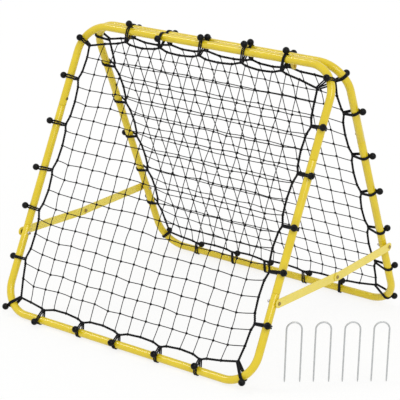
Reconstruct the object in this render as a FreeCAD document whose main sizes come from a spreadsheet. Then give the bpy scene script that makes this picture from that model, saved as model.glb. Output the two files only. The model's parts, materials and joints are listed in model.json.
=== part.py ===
import FreeCAD, Part
import math
import os
import re

import Sketcher

# Pitch back rebounder: two round-tube frames hinged along their top rails, each with a square-mesh net
# held by ball bungees, two pairs of folding flat-bar stays between the legs, and four ground stakes.
# Front is -Y, +X is to the right seen from the front, +Z is up, and the origin is on the ground in the
# middle between the frames. All lengths are in millimetres, all angles in degrees.

document = FreeCAD.newDocument("Rebounder")
sheet = document.addObject("Spreadsheet::Sheet", "Sizes")

sizes = (
    ("frame_width", 975, "leg centre to leg centre"),
    ("frame_length", 975, "top rail centre to bottom rail centre"),
    ("bend_radius", 95, "centreline radius of the tube bends"),
    ("tube_diameter", 25, "outer diameter of the frame tube"),
    ("tube_wall", 1.2, "wall of the frame tube"),
    ("lean", 25, "lean of each frame from the vertical when open"),
    ("hinge_offset", 27.5, "hinge axis to the plane of each frame"),
    ("hinge_drop", 12.5, "hinge axis below the top rail, along the frame"),
    ("joint_drop", 258, "rail centre to the tube joint in the leg"),
    ("spigot_length", 50, "length of a reduced leg end inside the next tube"),
    ("spigot_gap", 0.15, "radial gap round a reduced leg end"),
    ("neck_length", 3, "length of the taper beside a reduced leg end"),
    ("running_gap", 0.1, "radial gap of a bolt or screw in its hole"),
    ("side_gap", 0.3, "gap between faces that turn past each other"),
    ("joint_screw", 5, "diameter of a tube joint screw"),
    ("joint_screw_length", 9, "length of a tube joint screw under its head"),
    ("joint_screw_head", 9.5, "diameter of a tube joint screw head"),
    ("joint_screw_crown", 2.8, "height of a tube joint screw head"),
    ("ear_thickness", 3, "thickness of a hinge ear"),
    ("hinge_distance", 320, "middle of the part to the middle of a hinge"),
    ("ear_foot", 24, "width of a hinge ear at the rail"),
    ("ear_eye", 21, "diameter of the round end of a hinge ear"),
    ("pivot_bolt", 6, "diameter of the hinge and stay bolts"),
    ("bolt_head", 11, "diameter of a bolt head"),
    ("bolt_crown", 3.5, "height of a bolt head"),
    ("bolt_bevel", 1.2, "bevel on the rim of a bolt head"),
    ("nut_width", 10, "width of a nut across its flats"),
    ("nut_height", 5, "height of a nut"),
    ("thread_end", 2.5, "thread that stands out of a nut"),
    ("stay_width", 28, "width of a stay bar"),
    ("stay_thickness", 3, "thickness of a stay bar"),
    ("stay_reach", 3.8, "length of the spacer under a front stay"),
    ("stay_sag", 10, "how far the middle pivot of the stays hangs below their bolts on the legs"),
    ("spacer_diameter", 12, "outer diameter of a stay spacer"),
    ("rope_size", 5, "thickness of the border rope of a net"),
    ("rope_gap", 35, "tube centre to border rope centre at a bungee"),
    ("scallop", 12, "how far the border rope draws in between two bungees"),
    ("corner_gap", 58, "rail lines to the border rope centre at a corner"),
    ("mesh", 51, "distance between two strands of a net"),
    ("twine", 2, "thickness of a net strand"),
    ("strands", 16, "number of strands of a net each way"),
    ("bungees", 5, "number of bungees along each side of a net"),
    ("bungee_meshes", 3, "meshes between two bungees"),
    ("cord_size", 3.5, "thickness of a bungee cord round its tube"),
    ("cord_band", 5, "width of a bungee cord along its tube"),
    ("cord_gap", 0.3, "gap between a bungee cord and what it goes round"),
    ("ball_diameter", 22, "diameter of a bungee ball"),
    ("ball_turn", 45, "place of most bungee balls round their tube, from straight out"),
    ("ball_slide", 10, "place of the balls of the rear bottom rail along their cord"),
    ("stake_wire", 5, "thickness of the wire of a ground stake"),
    ("stake_width", 46, "leg centre to leg centre of a ground stake"),
    ("stake_height", 194, "tip to top of a ground stake"),
    ("stake_row_x", 543, "place of the first ground stake, to the right"),
    ("stake_row_y", -290, "place of the first ground stake, from front to back"),
    ("stake_row_turn", 40, "direction of the row of ground stakes"),
    ("stake_step", 87, "distance between two ground stakes"),
)
for row, (alias, number, note) in enumerate(sizes, 1):
    sheet.set(f"A{row}", note)
    sheet.set(f"B{row}", str(number))
    sheet.setAlias(f"B{row}", alias)
document.recompute()

alias_words = re.compile(r"\b(" + "|".join(alias for alias, number, note in sizes) + r")\b")
nodes = []

# Sizes that follow from the driving ones, written in the sheet's words.
octagon_turn = "22.5"
tube_radius = "(tube_diameter / 2)"
hole = "(pivot_bolt + 2 * running_gap)"
stay_drop = "(frame_length - joint_drop)"
half_span = f"(hinge_offset * cos(lean) + ({stay_drop} - hinge_drop) * sin(lean))"
stay_length = f"sqrt({half_span} * {half_span} + stay_sag * stay_sag)"
belt_reach = f"({tube_radius} + cord_gap + cord_size)"
rail_height = f"({belt_reach} / cos({octagon_turn}) * cos(lean - {octagon_turn}))"
axis_height = f"({rail_height} + (frame_length - hinge_drop) * cos(lean) - hinge_offset * sin(lean))"
ear_pitch = "(ear_thickness + side_gap)"
bungee_pitch = "(bungee_meshes * mesh)"
rope_rise = f"(scallop * cord_band / {bungee_pitch})"
bend_inset = "(bend_radius * (1 - cos(45)))"
corner_depth = f"((corner_gap - {bend_inset}) * sqrt(2) + rope_size * (sqrt(2) - 1) / 2 + cord_band / 2)"
ball_reach = f"({belt_reach} + cord_gap + ball_diameter / 2)"


def linked(text):
    """The text with each of the sheet's words written as a cell of the sheet."""
    return alias_words.sub(r"Sizes.\1", text)


def value(text):
    return float(sheet.evalExpression(linked(text)))


def bind(item, size, text):
    item.setExpression(size, linked(text))


def origin_item(body, role):
    return next(item for item in body.Origin.OriginFeatures if item.Role == role)


def new_body(name):
    body = document.addObject("PartDesign::Body", name)
    body.Label = name
    body.AllowCompound = True
    nodes.append(body)
    return body


def place(body, text):
    bind(body, "Placement", text)


def frame_place(frame, across="0", out="0", up="0", turn="0", axis="0; 1; 0"):
    """A place in a frame: across it, out of its plane and up along it, from the frame's middle."""
    tilt = "rotation(vector(1; 0; 0); -lean)"
    if frame == "rear":
        tilt = f"rotation(vector(0; 0; 1); 180) * {tilt}"
    hinge = f"placement(vector(0; 0; {axis_height}); {tilt})"
    middle = f"vector({across}; -hinge_offset - ({out}); hinge_drop - frame_length / 2 + {up})"
    return f"{hinge} * placement({middle}; rotation(vector({axis}); {turn}))"


def new_sketch(body, role, name, shift="0"):
    """A sketch on one of the body's own planes, moved along the plane's normal."""
    sketch = body.newObject("Sketcher::SketchObject", name)
    sketch.AttachmentSupport = [(origin_item(body, role), "")]
    sketch.MapMode = "FlatFace"
    bind(sketch, "AttachmentOffset.Base.z", shift)
    return sketch


def hold_point(sketch, shape, point, across, up):
    for kind, text in (("DistanceX", across), ("DistanceY", up)):
        rule = sketch.addConstraint(Sketcher.Constraint(kind, -1, 1, shape, point, value(text)))
        bind(sketch, f"Constraints[{rule}]", text)


def draw_polygon(sketch, corners):
    points = [FreeCAD.Vector(value(across), value(up), 0) for across, up in corners]
    first = sketch.GeometryCount
    count = len(points)
    following = points[1:] + points[:1]
    sketch.addGeometry([Part.LineSegment(start, end) for start, end in zip(points, following)])
    rules = []
    texts = []
    for index, (across, up) in enumerate(corners):
        line = first + index
        next_line = first + (index + 1) % count
        rules.append(Sketcher.Constraint("Coincident", line, 2, next_line, 1))
        rules.append(Sketcher.Constraint("DistanceX", -1, 1, line, 1, points[index].x))
        rules.append(Sketcher.Constraint("DistanceY", -1, 1, line, 1, points[index].y))
        texts += [None, across, up]
    first_rule = sketch.ConstraintCount
    sketch.addConstraint(rules)
    for index, text in enumerate(texts):
        if text is not None:
            bind(sketch, f"Constraints[{first_rule + index}]", text)


def draw_circle(sketch, across, up, diameter):
    centre = FreeCAD.Vector(value(across), value(up), 0)
    circle = sketch.addGeometry(Part.Circle(centre, FreeCAD.Vector(0, 0, 1), value(diameter) / 2))
    hold_point(sketch, circle, 3, across, up)
    rule = sketch.addConstraint(Sketcher.Constraint("Diameter", circle, value(diameter)))
    bind(sketch, f"Constraints[{rule}]", diameter)


def regular_corners(count, across_flats, turn):
    """Corners of a regular polygon whose first flat faces the direction turn."""
    step = 360 / count
    reach = f"({across_flats}) / 2 / cos({step / 2})"
    angles = [f"({turn}) + {step * (index + 0.5)}" for index in range(count)]
    return [(f"{reach} * cos({angle})", f"{reach} * sin({angle})") for angle in angles]


def pad(body, sketch, name, length):
    """A pad that grows equally to both sides of its sketch."""
    feature = body.newObject("PartDesign::Pad", name)
    feature.Profile = sketch
    feature.SideType = "Symmetric"
    bind(feature, "Length", length)
    sketch.Visibility = False
    return feature


def pocket(body, sketch, name, length):
    """A pocket that cuts equally to both sides of its sketch."""
    feature = body.newObject("PartDesign::Pocket", name)
    feature.Profile = sketch
    feature.SideType = "Symmetric"
    bind(feature, "Length", length)
    return feature


def revolve(body, sketch, name, axis):
    feature = body.newObject("PartDesign::Revolution", name)
    feature.Profile = sketch
    feature.ReferenceAxis = (sketch, [axis])
    feature.Angle = 360
    return feature


def repeat(body, originals, name, length, count):
    """Copies of the features along the body's X axis."""
    feature = body.newObject("PartDesign::LinearPattern", name)
    feature.Originals = originals
    feature.Direction = (origin_item(body, "X_Axis"), [""])
    bind(feature, "Length", length)
    bind(feature, "Occurrences", count)
    body.Tip = feature
    return feature


def mirror(body, originals, name):
    """A second copy of the features at the other leg."""
    feature = body.newObject("PartDesign::Mirrored", name)
    feature.Originals = originals
    feature.MirrorPlane = (origin_item(body, "YZ_Plane"), [""])
    body.Tip = feature
    return feature


def near_end(sketch, shape, point):
    """Which end of a line or arc lies at the point, as a sketch counts them."""
    geometry = sketch.Geometry[shape]
    if geometry.StartPoint.distanceToPoint(point) < geometry.EndPoint.distanceToPoint(point):
        return 1
    return 2


def arc_between(start, end, centre, course):
    """The arc from start to end that leaves the start along the course."""
    spoke = start - centre
    turns = [math.atan2(point.y - centre.y, point.x - centre.x) for point in (start, end)]
    if spoke.x * course.y < spoke.y * course.x:
        turns.reverse()
    circle = Part.Circle(centre, FreeCAD.Vector(0, 0, 1), spoke.Length)
    return Part.ArcOfCircle(circle, turns[0], turns[1])


def draw_bent_line(sketch, corners, centres):
    """An open path of straight lines with an arc between each two; returns the number of its edges."""
    points = [FreeCAD.Vector(value(across), value(up), 0) for across, up in corners]
    middles = [FreeCAD.Vector(value(across), value(up), 0) for across, up in centres]
    sketch.addGeometry(Part.LineSegment(points[0], points[1]))
    for index, middle in enumerate(middles):
        before, start, end, after = points[2 * index:2 * index + 4]
        sketch.addGeometry(arc_between(start, end, middle, start - before))
        sketch.addGeometry(Part.LineSegment(end, after))
    for index, (across, up) in enumerate(corners):
        hold_point(sketch, index // 2 * 2, index % 2 + 1, across, up)
    for index, (across, up) in enumerate(centres):
        arc = 2 * index + 1
        for line, line_end in ((arc - 1, 2), (arc + 1, 1)):
            arc_end = near_end(sketch, arc, points[arc if line < arc else arc + 1])
            sketch.addConstraint(Sketcher.Constraint("Coincident", line, line_end, arc, arc_end))
        rule = sketch.addConstraint(Sketcher.Constraint("DistanceY", -1, 1, arc, 3, value(up)))
        bind(sketch, f"Constraints[{rule}]", up)
    return sketch.GeometryCount


def sweep(body, profile, path, edges, name):
    feature = body.newObject("PartDesign::AdditivePipe", name)
    feature.Profile = profile
    feature.Spine = (path, [f"Edge{index + 1}" for index in range(edges)])
    return feature


# Frame tubes. Each frame is two bent tubes, one with the top rail and one with the bottom rail, joined
# by two straight leg tubes whose reduced ends sit inside them.

def bent_tube(frame, end):
    side = 1 if end == "top" else -1
    body = new_body(f"{frame}_{end}_rail_tube")
    place(body, frame_place(frame))
    leg = "(frame_width / 2)"
    inset = "(frame_width / 2 - bend_radius)"
    crown = f"{side} * frame_length / 2"
    shoulder = f"{side} * (frame_length / 2 - bend_radius)"
    foot = f"{side} * (frame_length / 2 - joint_drop - spigot_length / 2)"
    path = new_sketch(body, "XZ_Plane", f"{frame}_{end}_rail_path")
    left_half = [(f"-{leg}", foot), (f"-{leg}", shoulder), (f"-{inset}", crown)]
    right_half = [(inset, crown), (leg, shoulder), (leg, foot)]
    centres = [(f"-{inset}", shoulder), (inset, shoulder)]
    edges = draw_bent_line(path, left_half + right_half, centres)
    section = new_sketch(body, "XY_Plane", f"{frame}_{end}_rail_section", foot)
    draw_circle(section, f"-{leg}", "0", "tube_diameter")
    draw_circle(section, f"-{leg}", "0", "tube_diameter - 2 * tube_wall")
    sweep(body, section, path, edges, f"{frame}_{end}_rail_sweep")
    drilling = new_sketch(body, "YZ_Plane", f"{frame}_{end}_rail_holes")
    height = f"{side} * (frame_length / 2 - joint_drop)"
    if end == "top":
        draw_circle(drilling, "0", height, "joint_screw + 2 * running_gap")
        pocket(body, drilling, f"{frame}_top_rail_screw_holes", "frame_width")
    else:
        draw_circle(drilling, "0", height, hole)
        pocket(body, drilling, f"{frame}_bottom_rail_bolt_holes", "frame_width + 2 * tube_diameter")


def leg_tube(frame, hand):
    body = new_body(f"{frame}_{hand}_leg_tube")
    place(body, frame_place(frame, across=leg_across(frame, hand)))
    outer = tube_radius
    inner = f"({tube_radius} - tube_wall)"
    tip = f"({tube_radius} - tube_wall - spigot_gap)"
    tip_inner = f"({tube_radius} - 2 * tube_wall - spigot_gap)"
    joint = "(frame_length / 2 - joint_drop - spigot_length / 2)"
    profile = new_sketch(body, "XZ_Plane", f"{frame}_{hand}_leg_profile")
    draw_polygon(profile, [
        (tip, f"{joint} + spigot_length"),
        (tip, joint),
        (outer, f"{joint} - neck_length"),
        (outer, f"neck_length - {joint}"),
        (tip, f"-{joint}"),
        (tip, f"-{joint} - spigot_length"),
        (tip_inner, f"-{joint} - spigot_length"),
        (tip_inner, f"-{joint}"),
        (inner, f"neck_length - {joint}"),
        (inner, f"{joint} - neck_length"),
        (tip_inner, joint),
        (tip_inner, f"{joint} + spigot_length"),
    ])
    revolve(body, profile, f"{frame}_{hand}_leg_turned", "V_Axis")
    drilling = new_sketch(body, "YZ_Plane", f"{frame}_{hand}_leg_holes")
    draw_circle(drilling, "0", "frame_length / 2 - joint_drop", "joint_screw + 2 * running_gap")
    draw_circle(drilling, "0", "joint_drop - frame_length / 2", hole)
    pocket(body, drilling, f"{frame}_{hand}_leg_drilled", "2 * tube_diameter")


def leg_across(frame, hand):
    """Place of a leg across its own frame; the rear frame is turned half round."""
    return f"{leg_sign(frame, hand)} * frame_width / 2"


def leg_sign(frame, hand):
    return 1 if (hand == "right") == (frame == "front") else -1


def joint_screws(frame):
    """Screws through the inner walls of the upper tube joints."""
    body = new_body(f"{frame}_joint_screws")
    place(body, frame_place(frame, up="frame_length / 2 - joint_drop"))
    seat = f"(frame_width / 2 - {tube_radius})"
    shank = "joint_screw / 2"
    crown = "joint_screw_head / 2"
    profile = new_sketch(body, "XZ_Plane", f"{frame}_joint_screw_profile")
    draw_polygon(profile, [
        (f"{seat} + joint_screw_length", "0"),
        (f"{seat} - joint_screw_crown", "0"),
        (f"{seat} - joint_screw_crown", f"{crown} / 2"),
        (f"{seat} - joint_screw_crown / 2", crown),
        (seat, crown),
        (seat, shank),
        (f"{seat} + joint_screw_length - {shank}", shank),
    ])
    screw = revolve(body, profile, f"{frame}_joint_screw", "H_Axis")
    mirror(body, [screw], f"{frame}_joint_screw_pair")


# Hinge. Two ears are welded under each top rail, and the ears of one frame lie beside those of the other.

def hinge_ears(frame):
    body = new_body(f"{frame}_hinge_ears")
    turn = "atan(hinge_offset / hinge_drop)"
    place(body, frame_place(frame, up="frame_length / 2", turn=turn, axis="1; 0; 0"))
    shift = f"{ear_pitch} / 2 - hinge_distance"
    arm_length = "sqrt(hinge_offset * hinge_offset + hinge_drop * hinge_drop)"
    arm_sketch = new_sketch(body, "YZ_Plane", f"{frame}_ear_arm_outline", shift)
    draw_polygon(arm_sketch, [
        ("-ear_foot / 2", "0"),
        ("ear_foot / 2", "0"),
        ("ear_eye / 2", f"-{arm_length}"),
        ("-ear_eye / 2", f"-{arm_length}"),
    ])
    arm = pad(body, arm_sketch, f"{frame}_ear_arm", "ear_thickness")
    eye_sketch = new_sketch(body, "YZ_Plane", f"{frame}_ear_eye_outline", shift)
    draw_circle(eye_sketch, "0", f"-{arm_length}", "ear_eye")
    eye = pad(body, eye_sketch, f"{frame}_ear_eye", "ear_thickness")
    cut_sketch = new_sketch(body, "YZ_Plane", f"{frame}_ear_cut_outline", shift)
    draw_circle(cut_sketch, "0", "0", "tube_diameter")
    draw_circle(cut_sketch, "0", f"-{arm_length}", hole)
    cut = pocket(body, cut_sketch, f"{frame}_ear_cut", "2 * ear_thickness")
    repeat(body, [arm, eye, cut], f"{frame}_ear_pair", "2 * hinge_distance", "2")


def hinge_fasteners():
    """Bolts and nuts of both hinges, held by the front ears."""
    inner_face = f"({ear_pitch} + ear_thickness) / 2"
    bolts = new_body("hinge_bolts")
    place(bolts, f"placement(vector(0; 0; {axis_height}); rotation(vector(1; 0; 0); -lean))")
    seat = f"({inner_face} - hinge_distance)"
    nut_face = f"(-hinge_distance - {inner_face} - side_gap)"
    end = f"({nut_face} - nut_height - thread_end)"
    profile = new_sketch(bolts, "XZ_Plane", "hinge_bolt_profile")
    draw_polygon(profile, bolt_profile(seat, end, 1))
    bolt = revolve(bolts, profile, "hinge_bolt", "H_Axis")
    repeat(bolts, [bolt], "hinge_bolt_pair", "2 * hinge_distance", "2")
    nuts = new_body("hinge_nuts")
    place(nuts, f"placement(vector(0; 0; {axis_height}); rotation(vector(1; 0; 0); -lean))")
    outline = new_sketch(nuts, "YZ_Plane", "hinge_nut_outline", f"{nut_face} - nut_height / 2")
    draw_polygon(outline, regular_corners(6, "nut_width", "90"))
    draw_circle(outline, "0", "0", hole)
    nut = pad(nuts, outline, "hinge_nut", "nut_height")
    repeat(nuts, [nut], "hinge_nut_pair", "2 * hinge_distance", "2")


def bolt_profile(seat, end, side):
    """Half section of a round-headed bolt along X: head beyond the seat, shank to the end."""
    crown = f"({seat} + {side} * bolt_crown)"
    return [
        (end, "0"),
        (crown, "0"),
        (crown, "bolt_head / 2 - bolt_bevel"),
        (f"{crown} - {side} * bolt_bevel", "bolt_head / 2"),
        (seat, "bolt_head / 2"),
        (seat, "pivot_bolt / 2"),
        (end, "pivot_bolt / 2"),
    ]


# Stays. On each side a front bar turns on the front leg and a rear bar on the rear leg, and the two meet
# side by side at a pivot half way. The rear bars run outside the front bars.

def bar_inner(frame):
    """Tube surface to the inner face of a stay bar."""
    if frame == "front":
        return "(stay_reach + side_gap)"
    return "(stay_reach + 2 * side_gap + stay_thickness)"


def stay_fasteners(frame):
    """Bolts, nuts and spacers that carry the stays on the legs of one frame."""
    surface = f"(frame_width / 2 + {tube_radius})"
    height = "joint_drop - frame_length / 2"
    seat = f"({surface} + {bar_inner(frame)} + stay_thickness + side_gap)"
    nut_face = f"(frame_width / 2 - {tube_radius})"
    bolts = new_body(f"{frame}_stay_bolts")
    place(bolts, frame_place(frame, up=height))
    profile = new_sketch(bolts, "XZ_Plane", f"{frame}_stay_bolt_profile")
    draw_polygon(profile, bolt_profile(seat, f"({nut_face} - nut_height - thread_end)", 1))
    bolt = revolve(bolts, profile, f"{frame}_stay_bolt", "H_Axis")
    mirror(bolts, [bolt], f"{frame}_stay_bolt_pair")
    nuts = new_body(f"{frame}_stay_nuts")
    place(nuts, frame_place(frame, up=height))
    outline = new_sketch(nuts, "YZ_Plane", f"{frame}_stay_nut_outline", f"{nut_face} - nut_height / 2")
    draw_polygon(outline, regular_corners(6, "nut_width", "90"))
    draw_circle(outline, "0", "0", hole)
    nut = pad(nuts, outline, f"{frame}_stay_nut", "nut_height")
    mirror(nuts, [nut], f"{frame}_stay_nut_pair")
    spacers = new_body(f"{frame}_stay_spacers")
    place(spacers, frame_place(frame, up=height))
    length = f"({bar_inner(frame)} - side_gap)"
    ring = new_sketch(spacers, "YZ_Plane", f"{frame}_stay_spacer_outline", f"{surface} + {length} / 2")
    draw_circle(ring, "0", "0", "spacer_diameter")
    draw_circle(ring, "0", "0", hole)
    spacer = pad(spacers, ring, f"{frame}_stay_spacer", length)
    mirror(spacers, [spacer], f"{frame}_stay_spacer_pair")


def stay_height():
    """Height of the stay bolts above the hinge axis, negative because they lie below it."""
    return f"(hinge_offset * sin(lean) - ({stay_drop} - hinge_drop) * cos(lean))"


def stay_place(frame):
    """The leg pivot of a stay, with +Y of the body pointing to the middle pivot."""
    front = -1 if frame == "front" else 1
    turn = f"rotation(vector(1; 0; 0); -atan(stay_sag / {half_span}))"
    if frame == "rear":
        turn = f"rotation(vector(0; 0; 1); 180) * {turn}"
    base = f"vector(0; {front} * {half_span}; {axis_height} + {stay_height()})"
    return f"placement({base}; {turn})"


def stay_bar(frame, hand):
    side = leg_sign(frame, hand)
    name = f"{hand}_{frame}_stay"
    body = new_body(f"{name}_bar")
    place(body, stay_place(frame))
    middle = f"(frame_width / 2 + {tube_radius} + {bar_inner(frame)} + stay_thickness / 2)"
    shift = f"{side} * {middle}"
    bar_sketch = new_sketch(body, "YZ_Plane", f"{name}_outline", shift)
    draw_polygon(bar_sketch, [
        ("0", "-stay_width / 2"),
        (stay_length, "-stay_width / 2"),
        (stay_length, "stay_width / 2"),
        ("0", "stay_width / 2"),
    ])
    pad(body, bar_sketch, f"{name}_flat", "stay_thickness")
    ends = new_sketch(body, "YZ_Plane", f"{name}_ends_outline", shift)
    draw_circle(ends, "0", "0", "stay_width")
    draw_circle(ends, stay_length, "0", "stay_width")
    pad(body, ends, f"{name}_ends", "stay_thickness")
    holes = new_sketch(body, "YZ_Plane", f"{name}_holes_outline", shift)
    draw_circle(holes, "0", "0", hole)
    draw_circle(holes, stay_length, "0", hole)
    pocket(body, holes, f"{name}_holes", "2 * stay_thickness")


def middle_place():
    """The middle pivot of both pairs of stays, half way between the frames."""
    return f"placement(vector(0; 0; {axis_height} + {stay_height()} - stay_sag); rotation(vector(0; 0; 1); 0))"


def middle_pivot(hand):
    """Bolt head and shank in the outer bar, and the nut with its thread in the inner bar."""
    side = 1 if hand == "right" else -1
    outer_bar = f"(frame_width / 2 + {tube_radius} + {bar_inner('rear')})"
    bolt = new_body(f"{hand}_middle_pivot_bolt")
    place(bolt, middle_place())
    profile = new_sketch(bolt, "XZ_Plane", f"{hand}_middle_bolt_profile")
    seat = f"({side} * ({outer_bar} + stay_thickness))"
    draw_polygon(profile, bolt_profile(seat, f"({side} * {outer_bar})", side))
    revolve(bolt, profile, f"{hand}_middle_bolt", "H_Axis")
    inner_bar = f"(frame_width / 2 + {tube_radius} + {bar_inner('front')})"
    nut = new_body(f"{hand}_middle_pivot_nut")
    place(nut, middle_place())
    shift = f"{side} * ({inner_bar} - nut_height / 2)"
    outline = new_sketch(nut, "YZ_Plane", f"{hand}_middle_nut_outline", shift)
    draw_polygon(outline, regular_corners(6, "nut_width", "90"))
    pad(nut, outline, f"{hand}_middle_nut_hexagon", "nut_height")
    shift = f"{side} * ({inner_bar} + stay_thickness / 2)"
    thread = new_sketch(nut, "YZ_Plane", f"{hand}_middle_thread_outline", shift)
    draw_circle(thread, "0", "0", "pivot_bolt")
    pad(nut, thread, f"{hand}_middle_thread", "stay_thickness")


# Nets. A border rope is drawn out to the tubes at every bungee, and the strands end at it. The upright
# strands lie against the level ones, inside the thickness of the rope.

def rope_quarter(inset):
    """The upper right quarter of the border rope's line, set inwards from the middle of the rope."""
    last = int(value("bungees")) - 1
    along = []
    for step in range(last + 1):
        depth = "rope_gap" if (step + last) % 2 == 0 else "rope_gap + scallop"
        along.append((f"({step} / 2 * {bungee_pitch})", f"({depth} + {inset})"))
    outermost = along[-1][0]
    slack = f"(rope_gap + scallop + {inset})"
    corner_x = f"(frame_width / 2 - corner_gap - {inset})"
    corner_z = f"(frame_length / 2 - corner_gap - {inset})"
    line = [(across, f"frame_length / 2 - {depth}") for across, depth in along]
    line += [
        (f"({outermost} + {corner_x}) / 2", f"frame_length / 2 - {slack}"),
        (corner_x, corner_z),
        (f"frame_width / 2 - {slack}", f"({outermost} + {corner_z}) / 2"),
    ]
    return line + [(f"frame_width / 2 - {depth}", up) for up, depth in reversed(along)]


def net_border(frame):
    body = new_body(f"{frame}_net_border")
    place(body, frame_place(frame))
    outline = new_sketch(body, "XZ_Plane", f"{frame}_net_border_outline")
    inner_line = rope_quarter("rope_size / 2")
    draw_polygon(outline, rope_quarter("-rope_size / 2") + list(reversed(inner_line)))
    quarter = pad(body, outline, f"{frame}_net_border_quarter", "rope_size")
    to_all_corners(body, [quarter], f"{frame}_net_border_rope")


def net_field(frame):
    """Everything inside the border rope, which cuts the strands off."""
    body = document.addObject("PartDesign::Body", f"{frame}_net_field")
    place(body, frame_place(frame))
    outline = new_sketch(body, "XZ_Plane", f"{frame}_net_field_outline")
    draw_polygon(outline, rope_quarter("rope_size / 2") + [("0", "0")])
    quarter = pad(body, outline, f"{frame}_net_field_quarter", "rope_size")
    to_all_corners(body, [quarter], f"{frame}_net_field_whole")
    return body


def net_strands(frame, course, field):
    """All the strands of one direction, cut off where they meet the border rope."""
    upright = course == "upright"
    name = f"{frame}_net_{course}"
    turn = "0" if upright else "90"
    shift = "twine / 2" if upright else "-twine / 2"
    bars = document.addObject("PartDesign::Body", f"{name}_bars")
    bars.AllowCompound = True
    place(bars, frame_place(frame, turn=turn))
    half = "max(frame_width; frame_length) / 2"
    first = "-mesh * (strands - 1) / 2"
    outline = new_sketch(bars, "XZ_Plane", f"{name}_bar_outline", shift)
    draw_polygon(outline, [
        (f"{first} - twine / 2", f"-{half}"),
        (f"{first} + twine / 2", f"-{half}"),
        (f"{first} + twine / 2", half),
        (f"{first} - twine / 2", half),
    ])
    bar = pad(bars, outline, f"{name}_bar", "twine")
    repeat(bars, [bar], f"{name}_bar_row", "mesh * (strands - 1)", "strands")
    strands = document.addObject("Part::Common", f"{name}_strands")
    strands.Label = f"{name}_strands"
    strands.Base = bars
    strands.Tool = field
    nodes.append(strands)


# Bungees. Each is an elastic cord that goes round its tube and the border rope, and a ball that holds it.

def belt_corners(depth, gap):
    """Outline of a cord round a tube at the origin and a rope the depth below it, with a gap to both."""
    flat = f"({tube_radius} + {gap})"
    short = f"({flat} * tan({octagon_turn}))"
    tail = f"(rope_size / 2 + {gap})"
    end = f"({depth} + rope_size / 2 + {gap})"
    return [
        (flat, f"-{short}"),
        (flat, short),
        (short, flat),
        (f"-{short}", flat),
        (f"-{flat}", short),
        (f"-{flat}", f"-{short}"),
        (f"-{tail}", f"-{end}"),
        (tail, f"-{end}"),
    ]


def draw_cord(outline, depth, height):
    """Both outlines of a cord in the plane across its tube, with the tube's centre at the height."""
    for gap in ("(cord_gap + cord_size)", "cord_gap"):
        corners = belt_corners(depth, gap)
        draw_polygon(outline, [(out, f"{height} + {up}") for out, up in corners])


def ball_beside_tube(turn):
    """Seat of a ball on the cord round the tube, turned from straight out to away from the net."""
    return (f"({ball_reach} * cos({turn}))", f"({ball_reach} * sin({turn}))", turn)


def ball_beside_net():
    """Seat of a ball on the slanting stretch of cord between the tube and the border rope."""
    tail = "(rope_size / 2 + cord_gap + cord_size)"
    start = f"({belt_reach} * tan({octagon_turn}))"
    end = f"(rope_gap + {rope_rise} + {tail})"
    slant = f"(atan(({belt_reach} - {tail}) / ({end} - {start})) / 1 deg)"
    stand = "(cord_gap + ball_diameter / 2)"
    out = f"({belt_reach} - ball_slide * sin({slant}) + {stand} * cos({slant}))"
    up = f"(-{start} - ball_slide * cos({slant}) - {stand} * sin({slant}))"
    return (out, up, f"(-{slant})")


def draw_ball(outline, seat, height):
    """Eight flats, one of them against the cord, beside a tube whose centre is at the height."""
    out, up, turn = seat
    corners = regular_corners(8, "ball_diameter", f"-{turn}")
    draw_polygon(outline, [(f"{across} - {out}", f"{height} + {up} + {along}") for across, along in corners])


def round_off(body, prisms, name):
    """Bevels on both ends of eight-sided prisms as wide as they are long make balls of few faces."""
    prisms.recompute(True)
    ends = [f"Face{index + 1}" for index, face in enumerate(prisms.Shape.Faces) if len(face.Edges) == 8]
    bevel = body.newObject("PartDesign::Chamfer", name)
    bevel.Base = (prisms, ends)
    bind(bevel, "Size", "ball_diameter / (2 + sqrt(2))")
    body.Tip = bevel


def side_bungees(frame, side, angle, seat):
    """The row of bungees along one side, made on top of the frame and turned to the side."""
    half = "frame_width / 2" if side in ("left", "right") else "frame_length / 2"
    first = f"-{bungee_pitch} * (bungees - 1) / 2"
    row = f"{bungee_pitch} * (bungees - 1)"
    name = f"{frame}_{side}"
    cords = new_body(f"{name}_bungee_cords")
    place(cords, frame_place(frame, turn=angle))
    outline = new_sketch(cords, "YZ_Plane", f"{name}_cord_outline", first)
    draw_cord(outline, f"(rope_gap + {rope_rise})", half)
    cord = pad(cords, outline, f"{name}_cord", "cord_band")
    repeat(cords, [cord], f"{name}_cord_row", row, "bungees")
    balls = new_body(f"{name}_bungee_balls")
    place(balls, frame_place(frame, turn=angle))
    outline = new_sketch(balls, "YZ_Plane", f"{name}_ball_outline", first)
    draw_ball(outline, seat, half)
    prism = pad(balls, outline, f"{name}_ball_prism", "ball_diameter")
    prisms = repeat(balls, [prism], f"{name}_ball_row", row, "bungees")
    round_off(balls, prisms, f"{name}_ball_bevels")


def corner_sketch(body, name):
    """A sketch across the upper right bend of a frame, with +Y of the sketch pointing outwards."""
    sketch = new_sketch(body, "YZ_Plane", name, f"frame_width / 2 - {bend_inset}")
    bind(sketch, "AttachmentOffset.Base.y", f"frame_length / 2 - {bend_inset}")
    sketch.setExpression("AttachmentOffset.Rotation.Axis.x", "1")
    sketch.setExpression("AttachmentOffset.Rotation.Axis.z", "0")
    sketch.setExpression("AttachmentOffset.Rotation.Angle", "45")
    return sketch


def to_all_corners(body, originals, name):
    feature = body.newObject("PartDesign::MultiTransform", name)
    feature.Originals = originals
    across = body.newObject("PartDesign::Mirrored", f"{name}_across")
    across.MirrorPlane = (origin_item(body, "YZ_Plane"), [""])
    down = body.newObject("PartDesign::Mirrored", f"{name}_down")
    down.MirrorPlane = (origin_item(body, "XY_Plane"), [""])
    feature.Transformations = [across, down]
    body.Tip = feature
    return feature


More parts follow.
